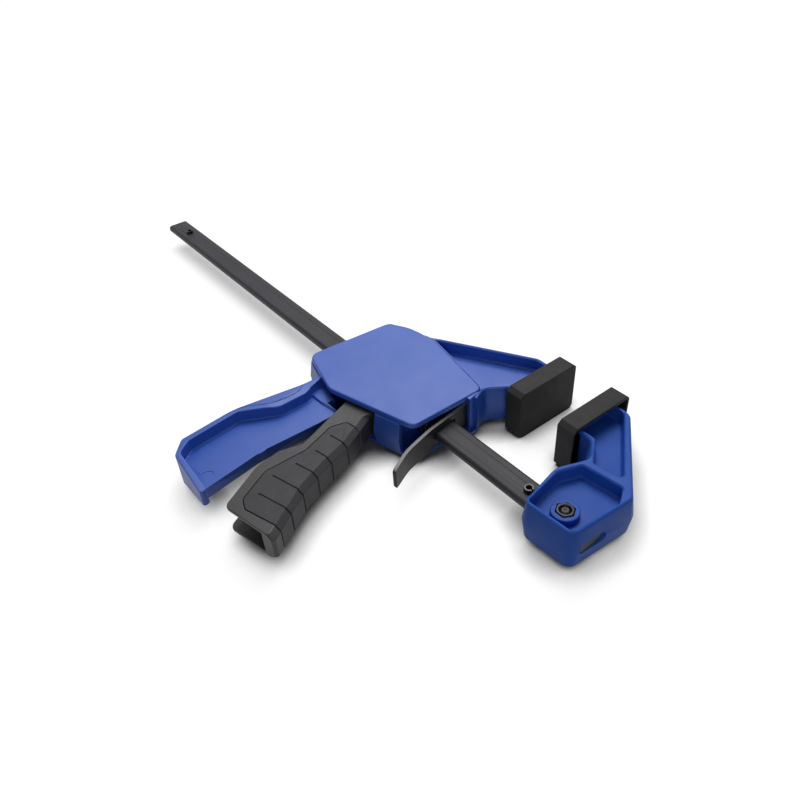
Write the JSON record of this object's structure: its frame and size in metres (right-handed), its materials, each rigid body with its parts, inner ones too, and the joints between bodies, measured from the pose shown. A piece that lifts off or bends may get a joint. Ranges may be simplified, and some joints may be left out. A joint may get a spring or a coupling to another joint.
{
  "type": "quick release bar clamp",
  "caption": "One-handed quick release bar clamp with a steel bar, blue moulded jaws, black pads, a squeeze trigger and a release lever.",
  "frame": {"origin": "centre of the fixed jaw pad's clamping face", "axes": "+X along the bar from its free end to the fixed jaw, +Y from the bar to the tips of the jaws, +Z out of the cover plate's side"},
  "size_m": [0.5361, 0.2524, 0.0382],
  "materials": {
    "blue_moulding": "satin",
    "black_moulding": "satin",
    "soft_grip": "matte",
    "black_pad": "matte",
    "dark_steel": "satin black",
    "bright_steel": "zinc plated"
  },
  "bodies": {
    "bar_assembly": {"bar": "dark_steel", "tail_stop_pin": "bright_steel", "head_stop_pin": "bright_steel", "fixed_jaw": "blue_moulding", "fixed_jaw_bolt": "bright_steel", "fixed_jaw_nut": "bright_steel", "fixed_jaw_pad": "black_pad"},
    "sliding_jaw": {"housing": "blue_moulding", "cover_plate": "blue_moulding", "cover_screws": "bright_steel", "moving_jaw_pad": "black_pad", "trigger_pivot_pin": "bright_steel", "drive_spring": "bright_steel", "brake_spring": "bright_steel"},
    "trigger_unit": {"trigger": "black_moulding", "trigger_grip": "soft_grip"},
    "drive_plates": {"drive_plate_front": "bright_steel", "drive_plate_middle": "bright_steel", "drive_plate_rear": "bright_steel"},
    "release": {"release_lever": "dark_steel"}
  },
  "joints": [
    {"name": "jaw_slide", "type": "slide", "parent": "bar_assembly", "child": "sliding_jaw", "axis": [1, 0, 0], "range_m": [-0.2626, 0.0312]},
    {"name": "trigger_squeeze", "type": "hinge", "parent": "sliding_jaw", "child": "trigger_unit", "pos_m": [-0.095, -0.04975, 0], "axis": [0, 0, -1], "range_deg": [0, 10], "stiffness_Nm_per_rad": 0.6, "springref_deg": -17.19},
    {"name": "drive_stroke", "type": "slide", "parent": "sliding_jaw", "child": "drive_plates", "axis": [-1, 0, 0], "range_m": [0, 0.0039], "deforming": ["drive_spring"]},
    {"name": "lever_release", "type": "hinge", "parent": "sliding_jaw", "child": "release", "pos_m": [-0.06077, -0.04775, 0], "axis": [0, 0, -1], "range_deg": [0, 8], "stiffness_Nm_per_rad": 0.2, "springref_deg": -14.32, "deforming": ["brake_spring"]}
  ],
  "couplings": [
    {"joint": "drive_stroke", "follows": "trigger_squeeze", "m_per_rad": 0.0222}
  ]
}
